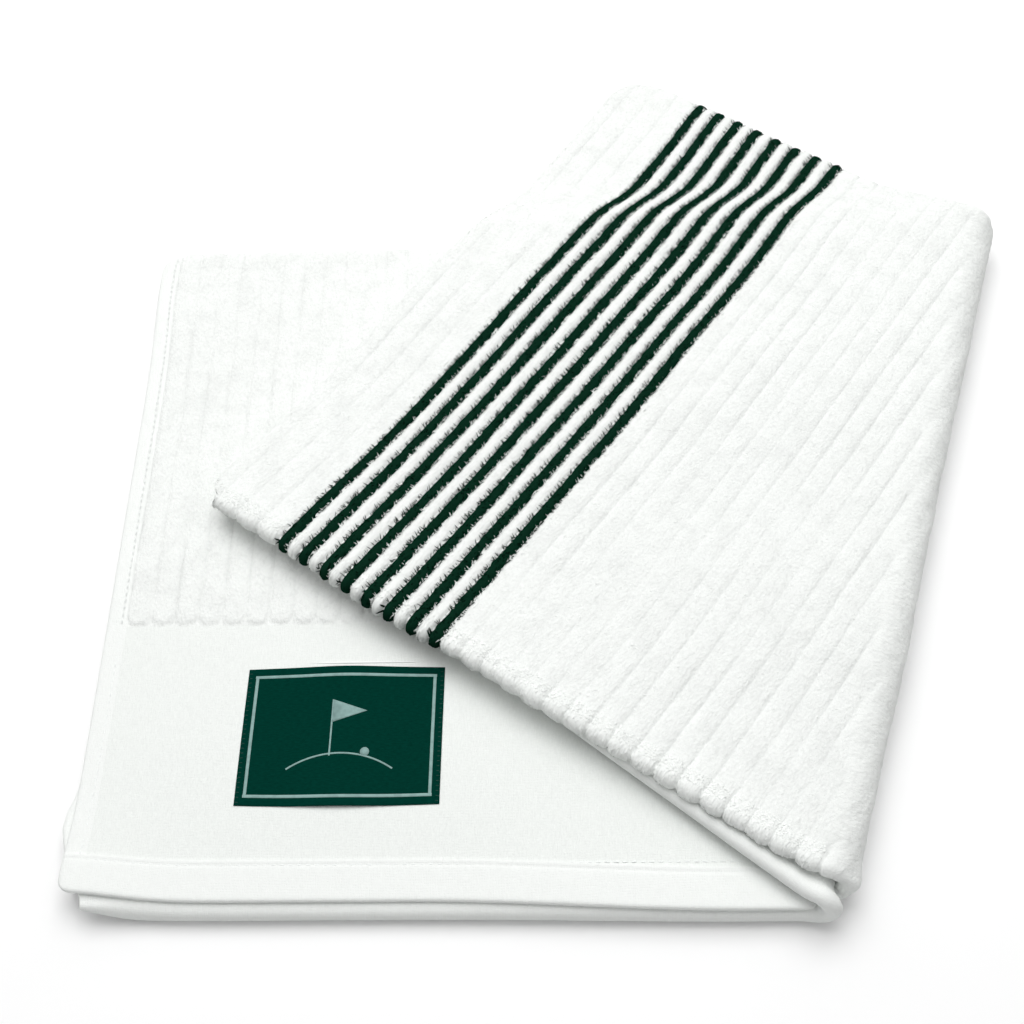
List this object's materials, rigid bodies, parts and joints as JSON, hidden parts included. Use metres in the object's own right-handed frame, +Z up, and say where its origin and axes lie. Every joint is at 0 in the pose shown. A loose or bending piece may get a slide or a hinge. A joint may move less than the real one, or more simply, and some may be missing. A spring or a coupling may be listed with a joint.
{
  "type": "folded golf towel",
  "caption": "Ribbed cotton terry golf towel, folded flat in layers with a diagonal flap that opens, green pile stripes, a flat-woven border and a sewn label.",
  "frame": {"origin": "on the table, under the middle of the folded towel's bounding box", "axes": "+Z up from the table, +Y along the ribs of the lower part from its hem edge to its far fold, +X along the hem edge towards the side fold"},
  "size_m": [0.3734, 0.4132, 0.0266],
  "materials": {
    "terry_white": "soft cotton terry pile in ribs, matte",
    "terry_green": "soft cotton terry pile, dyed dark green, matte",
    "flat_weave_white": "fine flat weave, matte",
    "hem_white": "flat weave turned under and sewn, matte",
    "label_green": "dense satin weave, slight sheen",
    "thread_white": "twisted sewing thread",
    "thread_green": "twisted sewing thread",
    "thread_pale": "pale thread woven into the label"
  },
  "bodies": {
    "base": {"base_border_1": "flat_weave_white", "base_border_2": "flat_weave_white", "base_end_hem_1": "hem_white", "base_end_hem_2": "hem_white", "base_far_fold_inner": "terry_white", "base_far_fold_outer": "terry_white", "base_leaf_1": "terry_white", "base_leaf_2": "terry_white", "base_leaf_3": "terry_white", "base_leaf_4": "terry_white", "base_near_fold": "terry_white", "base_side_hem": "hem_white", "end_hem_stitches": "thread_white", "label": "label_green", "label_stitches_left": "thread_green", "label_stitches_right": "thread_green", "side_fold_leaf_1": "terry_white", "side_fold_leaf_2": "terry_white", "side_fold_leaf_3": "terry_white", "side_fold_leaf_4": "terry_white", "side_hem_stitches": "thread_white"},
    "flap": {"flap_border_1": "flat_weave_white", "flap_border_2": "flat_weave_white", "flap_end_hem_1": "hem_white", "flap_end_hem_2": "hem_white", "flap_far_fold_inner": "terry_white", "flap_far_fold_outer": "terry_white", "flap_leaf_1": "terry_white", "flap_leaf_2": "terry_white", "flap_leaf_3": "terry_white", "flap_leaf_4": "terry_white", "flap_near_fold": "terry_white", "flap_side_hem": "hem_white", "green_stripes": "terry_green"}
  },
  "joints": [
    {"name": "side_fold_hinge", "type": "hinge", "parent": "base", "child": "flap", "pos_m": [0.07632, -0.20211, 0.013], "axis": [0.304, 0.9527, 0], "range_deg": [0, 180], "deforming": ["side_fold_leaf_1", "side_fold_leaf_2", "side_fold_leaf_3", "side_fold_leaf_4"]}
  ]
}
